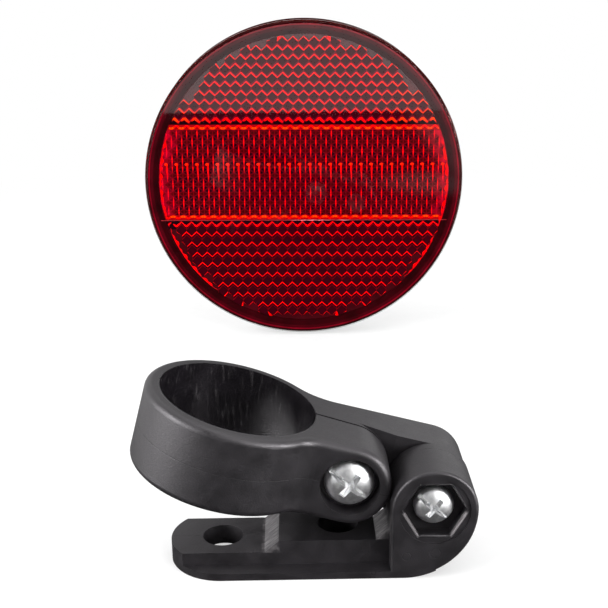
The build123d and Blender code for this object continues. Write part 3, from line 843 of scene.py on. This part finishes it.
def nylon_finish(name, colours, clamp=False, lip_highlight=False):
    """Black moulded nylon: cloudy tone, satin grain, a parting line, pale scuffs, moulding marks.

    clamp puts the line and the scratches where the clamp has them, and not where the foot has them. The last
    flag paints a highlight in the pale colour on the two lower slanted sides of the pocket's lip, which face
    the light."""
    finish = Finish(name)
    apart, nylon, scuff_and_highlight = finish.parts(), colours.nylon, opaque(colours.scuff_and_highlight)
    cloud, grain = finish.noise(3 * MM, 4.0), finish.noise(colours.grain_pitch, 2.0)
    waver = finish.noise(1.2 * MM, 3.0)
    seam, scuff, place = clamp_wear(finish) if clamp else foot_wear(finish, apart, waver)
    seam = finish.times(seam, finish.spread(waver, 0.3, 0.6, 0.45, 1.0))
    base = finish.blended(finish.spread(cloud, 0.3, 0.7), scaled(nylon, 0.75), scaled(nylon, 1.35))
    base = finish.blended(seam, base, scaled(nylon, 0.1))
    base = finish.blended(scuff, base, scuff_and_highlight)
    # Painted highlight: the lip's two lower slanted sides take the pale colour of the scuffs.
    if lip_highlight:
        below = finish.spread(apart["Z"], PIVOT[2] - 0.6 * MM, PIVOT[2] - 0.2 * MM, 1.0, 0.0)
        aside = finish.math("ABSOLUTE", finish.minus(apart["X"], PIVOT[0]))
        base = finish.blended(finish.times(below, finish.spread(aside, 2.3 * MM, 2.7 * MM)), base, scuff_and_highlight)
    relief = finish.minus(grain, finish.times(seam, 0.6))
    rough = finish.spread(finish.plus(cloud, grain), 0.6, 1.4,
                          colours.roughness - 0.06, colours.roughness + 0.08)
    if clamp:
        rough = finish.times(rough, finish.spread(place, 0.0, 1.0, 1.0, 0.45))
    else:
        base = finish.blended(finish.times(place, 0.5), base, scaled(nylon, 0.3))
        relief = finish.minus(relief, place)
    return finish.finished({
        "Base Color": base, "Roughness": finish.most(rough, seam),
        "Normal": finish.bumps(relief, 0.5, 0.045 * MM),
        "Specular IOR Level": 0.85, "Specular Tint": (1.0, 0.96, 1.0, 1.0)})


def zinc_finish(name, colours):
    """Bright zinc plate: clear bluish grey metal with cloudy passivation and fine marks."""
    finish, zinc = Finish(name), colours.zinc
    cloud, mark = finish.noise(0.9 * MM, 4.0), finish.noise(0.2 * MM, 3.0)
    return finish.finished({
        "Base Color": finish.blended(finish.spread(cloud, 0.3, 0.7), scaled(zinc, 0.8), scaled(zinc, 1.1)),
        "Metallic": 1.0, "Roughness": finish.spread(mark, 0.3, 0.7, 0.36, 0.52),
        "Normal": finish.bumps(mark, 0.25, 0.02 * MM)})


def back_finish(name, colours):
    """Smooth black moulding of the reflector's back, a little glossier than the nylon."""
    finish = Finish(name)
    cloud, fine = finish.noise(6 * MM, 4.0), finish.noise(0.3 * MM, 2.0)
    return finish.finished({
        "Base Color": finish.blended(cloud, scaled(colours.nylon, 0.9), scaled(colours.nylon, 1.6)),
        "Roughness": finish.spread(cloud, 0.3, 0.7, 0.28, 0.38),
        "Normal": finish.bumps(fine, 0.1, 0.02 * MM)})


def prism_finish(name):
    """Prism facets: each takes its own colour, in which their light and shade are painted, and also gives off
    a little of that colour as painted light, so that the lit edges shine back most.
    """
    finish = Finish(name)
    own = finish.add("ShaderNodeAttribute", attribute_name="tint").outputs["Color"]
    return finish.finished({
        "Base Color": finish.clouded(own, 0.75, 1.0), "Roughness": 0.5, "Specular IOR Level": 0.0,
        "Emission Color": own, "Emission Strength": 0.2})


def rim_finish(name, colours):
    """Deep red edge of the lens, its tone set by the distance from the lens axis, with painted shade
    darkening a band of it towards its bottom.
    """
    finish, red = Finish(name), colours.rim
    share = finish.from_axis(33.0, 38.1)
    shades = [(position, scaled(red, level)) for position, level in RIM_SHADES]
    tone = finish.ramp(share, [*shades[:6], (0.79, colours.ring), (0.83, colours.ring), shades[6],
                               (0.92, tint(42, 16, 16)), (1.0, tint(60, 18, 16))])
    # Painted shade: the middle of the rim's width gets darker towards its bottom.
    low = finish.spread(finish.parts()["Z"], LENS_Z - 20 * MM, LENS_Z - 34 * MM)
    tone = finish.blended(finish.times(low, finish.within(share, 0.4, 0.64, 0.03)), tone, scaled(red, 0.5))
    return finish.finished({
        "Base Color": finish.clouded(tone, 0.55, 1.15), "Roughness": 0.35, "Specular IOR Level": 0.0})


def clear_finish(name):
    """Polished clear front: see-through, with a mirror's share that grows towards its edge.

    A ray that leaves the clear piece meets the same mirror's share as one that enters it."""
    finish = Finish(name)
    wavy = finish.bumps(finish.noise(22 * MM, 2.0), 0.25, 0.05 * MM)
    mirror = finish.ramp(finish.from_axis(LENS_RADIUS - 0.9, LENS_RADIUS - 0.3),
                         [(0.0, (1.0,) * 3), (1.0, tint(120, 20, 20))])
    finish.finished({"Base Color": mirror, "Metallic": 1.0, "Roughness": 0.03, "Normal": wavy})
    clear = finish.add("ShaderNodeBsdfTransparent", {"Color": (1, 1, 1, 1)})
    entering, leaving = (finish.add("ShaderNodeFresnel", {"IOR": ior, "Normal": wavy}).outputs[0]
                         for ior in (CLEAR_IOR, 1 / CLEAR_IOR))
    behind = finish.add("ShaderNodeNewGeometry").outputs["Backfacing"]
    share = finish.plus(finish.times(leaving, behind), finish.times(entering, finish.minus(1.0, behind)))
    return finish.shown(share, clear, finish.shader)


def floor_finish(name):
    """Pale floor: white to the camera, grey near the part and white far off in reflections."""
    finish = Finish(name)
    path, apart = finish.add("ShaderNodeLightPath").outputs, finish.parts()
    behind = finish.spread(apart["Y"], -0.2600, -0.2565, 1.0, 0.0)
    aside = finish.spread(finish.math("ABSOLUTE", finish.plus(apart["X"], 0.008)), 0.070, 0.085, 0.0, 0.42)
    patch = finish.vector("DISTANCE", finish.place, (0.060, -0.072, 0))
    patch = finish.spread(patch, 0.006, 0.030, 0.35, 0.0)
    left = finish.spread(apart["X"], -0.078, -0.066, 1.0, 0.0)
    mirrored = finish.most(behind, aside, patch, left)
    distance = finish.vector("LENGTH", finish.mapped(Location=(0, -0.05, 0)))
    direct = finish.spread(distance, 0.10, 0.26, 0.5, 1.0)
    indirect = finish.times(finish.most(path["Is Glossy Ray"], path["Is Transmission Ray"]), mirrored)
    pale = finish.ramp(finish.noise(3 * MM, 2.0), [(0.3, (0.93,) * 3), (0.7, (0.96,) * 3)])
    tone = finish.blended(path["Is Glossy Ray"], pale, (0.02, 0.02, 0.02, 1))
    finish.finished({"Base Color": tone, "Roughness": 0.9, "Specular IOR Level": 0.0})
    white = finish.add("ShaderNodeEmission", {"Color": (1, 1, 1, 1), "Strength": 1.0})
    seen = finish.plus(finish.times(path["Is Camera Ray"], direct), indirect)
    return finish.shown(seen, finish.shader, white)


def give_finish(nodes, finish):
    """Puts one finish on CAD nodes, in place of what they came with."""
    for node in nodes:
        slots = frame["nodes"][node].data.materials
        slots.clear()
        slots.append(finish)


# ---------------------------------------------------------------- pieces


class REFLECTOR_OT_bracket(Operator):
    """Finish the bracket's two nylon mouldings"""

    bl_idname = "reflector.bracket"
    bl_label = "Nylon Bracket"

    def execute(self, context):
        colours = context.scene.bracket_colours
        give_finish(["seat_post_clamp"], nylon_finish("clamp_nylon", colours, clamp=True))
        give_finish(["mounting_foot"], nylon_finish("foot_nylon", colours))
        return {"FINISHED"}


class REFLECTOR_OT_fasteners(Operator):
    """Finish the screws, nuts, stud and washer"""

    bl_idname = "reflector.fasteners"
    bl_label = "Zinc Fasteners"

    def execute(self, context):
        zinc = zinc_finish("zinc_plate", context.scene.bracket_colours)
        give_finish(["clamp_nut", "pivot_nut", "mounting_stud", "stud_washer", "stud_nut"], zinc)
        screws = context.scene.screws
        for node, nut, body, head, thread, grip in (
                ("clamp_screw", "clamp_nut", "clamp_arm",
                 screws.clamp_head, screws.clamp_thread, screws.clamp_grip),
                ("pivot_screw", "pivot_nut", LENS_BODY,
                 screws.pivot_head, screws.pivot_thread, screws.pivot_grip)):
            low, high = (np.array(corner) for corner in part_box(node))
            nut_low, nut_high = (np.array(corner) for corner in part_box(nut))
            seat = low[1] + head
            nut_start, nut_end, length = ((end[1] - seat) / MM for end in (nut_low, nut_high, high))
            grid, faces = head_surface(screws, (high[0] - low[0]) / MM, head / MM, thread / MM, grip / MM,
                                       nut_start, nut_end, length)
            across, up, out = rotated(grid, screws.slot_turn).T * MM
            centre = (low + high) / 2
            points = np.stack((centre[0] + across, seat - out, centre[2] + up), -1)
            piece = build_piece(f"{node}_plated", points, (faces,), zinc)
            weld(piece)
            smoothed(piece, 35)
            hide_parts(node)
            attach(piece, body)
        return {"FINISHED"}


class REFLECTOR_OT_lip(Operator):
    """Make the slanted lip in the mouth of the pivot screw's pocket"""

    bl_idname = "reflector.lip"
    bl_label = "Pocket Lip"

    def execute(self, context):
        lip, colours = context.scene.pocket_lip, context.scene.bracket_colours
        points, faces = hex_lip(lip.flats / MM, lip.depth / MM, lip.width / MM)
        placed = np.stack((PIVOT[0] + points[:, 0] * MM, (POCKET_MOUTH + 0.02 + points[:, 2]) * MM,
                           PIVOT[2] + points[:, 1] * MM), -1)
        piece = build_piece("pocket_lip", placed, (faces,), nylon_finish("lip_nylon", colours, lip_highlight=True))
        weld(piece)
        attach(piece, LENS_BODY)
        return {"FINISHED"}


class REFLECTOR_OT_back(Operator):
    """Finish the reflector's black back"""

    bl_idname = "reflector.back"
    bl_label = "Reflector Back"

    def execute(self, context):
        give_finish(["reflector_back"], back_finish("back_moulding", context.scene.bracket_colours))
        return {"FINISHED"}


class REFLECTOR_OT_rim(Operator):
    """Make the lens's rim, skirt and rear face"""

    bl_idname = "reflector.rim"
    bl_label = "Lens Rim"

    def execute(self, context):
        edge = LENS_RADIUS
        field = context.scene.prisms.field_radius / MM
        profile = [(0, RIM_FLOOR), (field + 0.05, RIM_FLOOR), (field + 0.25, 0.55), (edge - 1.5, 0.45),
                   (edge - 1.3, 0.52), (edge - 1.15, 0.45), (edge - 0.7, 0.42),
                   *rounded((edge - 0.68, 1.0), 0.58, -90, 0, 7)[1:], (edge - 0.1, 1.25), (edge, RIM_FLOOR),
                   (edge, LENS_DEPTH), (edge - 1.1, LENS_DEPTH), (edge - 1.1, REAR_WALL), (0, REAR_WALL)]
        points, sides, caps = turned(profile, 192)
        finish = rim_finish("rim_red", context.scene.lens_colours)
        piece = build_piece("lens_rim", on_lens(points), (sides, caps), finish)
        smoothed(piece, 40)
        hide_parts("reflector_lens")
        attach(piece, LENS_BODY)
        piece.visible_glossy = piece.visible_diffuse = False
        return {"FINISHED"}


class REFLECTOR_OT_prisms(Operator):
    """Make the field of prisms with its three bands"""

    bl_idname = "reflector.prisms"
    bl_label = "Prism Field"

    def execute(self, context):
        size, colours = context.scene.prisms, context.scene.lens_colours
        pitch, radius, relief = size.column_pitch / MM, size.field_radius / MM, size.relief / MM
        above, over = relief * 1.04, relief * 1.1
        points, faces, shades = joined([
            *outer_zones(size, colours, pitch, radius), *middle_band(size, colours, pitch, radius),
            *lit_rows(size, colours, pitch, radius, above, over), *level_strips(colours, radius, relief),
            mould_line(colours, radius, over),
            *(lit_side(colours, radius - 0.28, start, end, over) for start, end in SIDE_GLOWS)])
        shades = warmed(points, faces, shades)
        placed = rotated(points, size.field_turn)
        # No facet rises past the lit strokes, so the whole field stays inside the clear front
        placed[:, 2] = size.crest_depth / MM + relief - np.clip(points[:, 2], 0, over)
        backward = spin(placed, faces) < 0
        faces[backward], shades[backward] = faces[backward][:, ::-1], shades[backward][:, ::-1]
        piece = build_piece("prism_field", on_lens(placed), (faces,), prism_finish("prism_red"))
        attribute = piece.data.attributes.new("tint", "FLOAT_COLOR", "CORNER")
        shades = np.concatenate([shades, np.ones((*shades.shape[:2], 1))], -1)
        attribute.data.foreach_set("color", shades.astype(np.float32).ravel())
        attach(piece, LENS_BODY)
        piece.visible_glossy = piece.visible_diffuse = False
        return {"FINISHED"}


class REFLECTOR_OT_front(Operator):
    """Make the clear flat front of the lens"""

    bl_idname = "reflector.front"
    bl_label = "Clear Front"

    def execute(self, context):
        edge = LENS_RADIUS
        profile = [(0, 0), (edge - 0.8, 0), (edge - 0.6, 0), *rounded((edge - 0.6, 0.6), 0.6, -90, 0, 7)[1:],
                   (edge, CLEAR_DEPTH), (0, CLEAR_DEPTH)]
        points, sides, caps = turned(profile, 192)
        piece = build_piece("lens_front", on_lens(points), (sides, caps), clear_finish("clear_front"))
        smoothed(piece, 40)
        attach(piece, LENS_BODY)
        piece.visible_glossy = piece.visible_diffuse = False
        return {"FINISHED"}


def softbox(name, place, aim, width, height, strength):
    """A soft lamp of a given face brightness: its power is brightness times area times pi."""
    lamp = bpy.data.lights.new(name, "AREA")
    lamp.shape, lamp.size, lamp.size_y = "RECTANGLE", width, height
    lamp.energy = strength * width * height * np.pi
    stand = bpy.data.objects.new(name, lamp)
    bpy.context.scene.collection.objects.link(stand)
    back = np.array(place) - np.array(aim)
    back /= np.linalg.norm(back)
    right = np.cross((0, 0, 1) if abs(back[2]) < 0.99 else (0, 1, 0), back)
    right /= np.linalg.norm(right)
    turn = np.eye(4)
    turn[:3, 0], turn[:3, 1], turn[:3, 2], turn[:3, 3] = right, np.cross(back, right), back, place
    stand.matrix_world = Matrix(turn.tolist())
    return stand


class REFLECTOR_OT_studio(Operator):
    """Set up the floor, the lamps, the surroundings and the camera"""

    bl_idname = "reflector.studio"
    bl_label = "Studio"

    def execute(self, context):
        studio = context.scene.studio
        reach = studio.floor_reach
        line = np.linspace(-reach, reach, 9)
        x, y = np.meshgrid(line, line)
        points = np.stack((x, y, np.full_like(x, -0.05 * MM)), -1).reshape(-1, 3)
        start = (np.arange(8)[:, None] * 9 + np.arange(8)).ravel()[:, None]
        floor = build_piece("studio_floor", points, (start + (0, 1, 10, 9),), floor_finish("floor_paper"))
        world = bpy.data.worlds.new("studio_air")
        world.use_nodes = True
        context.scene.world = world
        nodes, links = world.node_tree.nodes, world.node_tree.links
        path = nodes.new("ShaderNodeLightPath")
        direction = nodes.new("ShaderNodeTexCoord")
        apart = nodes.new("ShaderNodeSeparateXYZ")
        links.new(direction.outputs["Generated"], apart.inputs[0])
        backdrop = nodes.new("ShaderNodeMapRange")
        backdrop.interpolation_type = "SMOOTHSTEP"
        for name, value in {"From Min": -0.3, "From Max": 0.5, "To Min": 0.05, "To Max": 1.0}.items():
            backdrop.inputs[name].default_value = value
        links.new(apart.outputs["Y"], backdrop.inputs["Value"])
        seen = nodes.new("ShaderNodeMath")
        seen.operation = "MAXIMUM"
        links.new(path.outputs["Is Camera Ray"], seen.inputs[0])
        links.new(backdrop.outputs[0], seen.inputs[1])
        nodes["Background"].inputs["Color"].default_value = (1, 1, 1, 1)
        links.new(seen.outputs[0], nodes["Background"].inputs["Strength"])
        softbox("left_softbox", (-0.54, -0.17, 0.22), (0, 0, 0.02), 0.46, 0.48, 8.5)
        softbox("right_softbox", (0.46, -0.24, 0.09), (0, 0, 0.02), 0.28, 0.17, 22.0)
        softbox("key_softbox", (0.34, -0.44, 0.30), (0, 0, 0.02), 0.22, 0.22, 5.5)
        softbox("top_softbox", (0.10, 0.0, 0.80), (0, 0.0, 0), 0.7, 0.5, 1.6)
        softbox("front_softbox", (0.40, -0.62, 0.85), (0, 0.05, 0.03), 0.8, 0.6, 1.8)
        data = bpy.data.cameras.new("photo_camera")
        data.sensor_width, data.lens = 36.0, studio.lens_length
        data.clip_start, data.clip_end = 0.01, 20.0
        camera = bpy.data.objects.new("photo_camera", data)
        context.scene.collection.objects.link(camera)
        yaw, tilt, roll = studio.camera_turn
        ahead = np.array((np.sin(yaw) * np.cos(tilt), np.cos(yaw) * np.cos(tilt), -np.sin(tilt)))
        right = np.cross(ahead, (0, 0, 1))
        right /= np.linalg.norm(right)
        up = np.cross(right, ahead)
        turn = np.eye(4)
        turn[:3, 0] = np.cos(roll) * right + np.sin(roll) * up
        turn[:3, 1] = np.cos(roll) * up - np.sin(roll) * right
        turn[:3, 2], turn[:3, 3] = -ahead, studio.camera_place
        camera.matrix_world = Matrix(turn.tolist())
        context.scene.camera = camera
        context.scene.view_settings.view_transform = "Standard"
        return {"FINISHED"}


class REFLECTOR_PT_panel(Panel):
    bl_idname = "REFLECTOR_PT_panel"
    bl_label = "Bicycle Rear Reflector"
    bl_space_type = "VIEW_3D"
    bl_region_type = "UI"
    bl_category = "Reflector"

    def draw(self, context):
        for step in STEPS:
            self.layout.operator(step.bl_idname)


SETTINGS = {"prisms": PrismSettings, "lens_colours": LensColours, "bracket_colours": BracketColours,
            "screws": ScrewSettings, "pocket_lip": LipSettings, "studio": StudioSettings}
STEPS = (REFLECTOR_OT_studio, REFLECTOR_OT_bracket, REFLECTOR_OT_fasteners, REFLECTOR_OT_lip,
         REFLECTOR_OT_back, REFLECTOR_OT_rim, REFLECTOR_OT_prisms, REFLECTOR_OT_front)


def register():
    for kind in (*SETTINGS.values(), *STEPS, REFLECTOR_PT_panel):
        bpy.utils.register_class(kind)
    for name, kind in SETTINGS.items():
        setattr(bpy.types.Scene, name, PointerProperty(type=kind))


def unregister():
    for name in SETTINGS:
        delattr(bpy.types.Scene, name)
    for kind in reversed((*SETTINGS.values(), *STEPS, REFLECTOR_PT_panel)):
        bpy.utils.unregister_class(kind)


def main():
    """Builds the dressed part."""
    register()
    bpy.ops.reflector.studio()
    bpy.ops.reflector.bracket()
    bpy.ops.reflector.fasteners()
    bpy.ops.reflector.lip()
    bpy.ops.reflector.back()
    bpy.ops.reflector.rim()
    bpy.ops.reflector.prisms()
    bpy.ops.reflector.front()


if __name__ == "__main__":
    main()
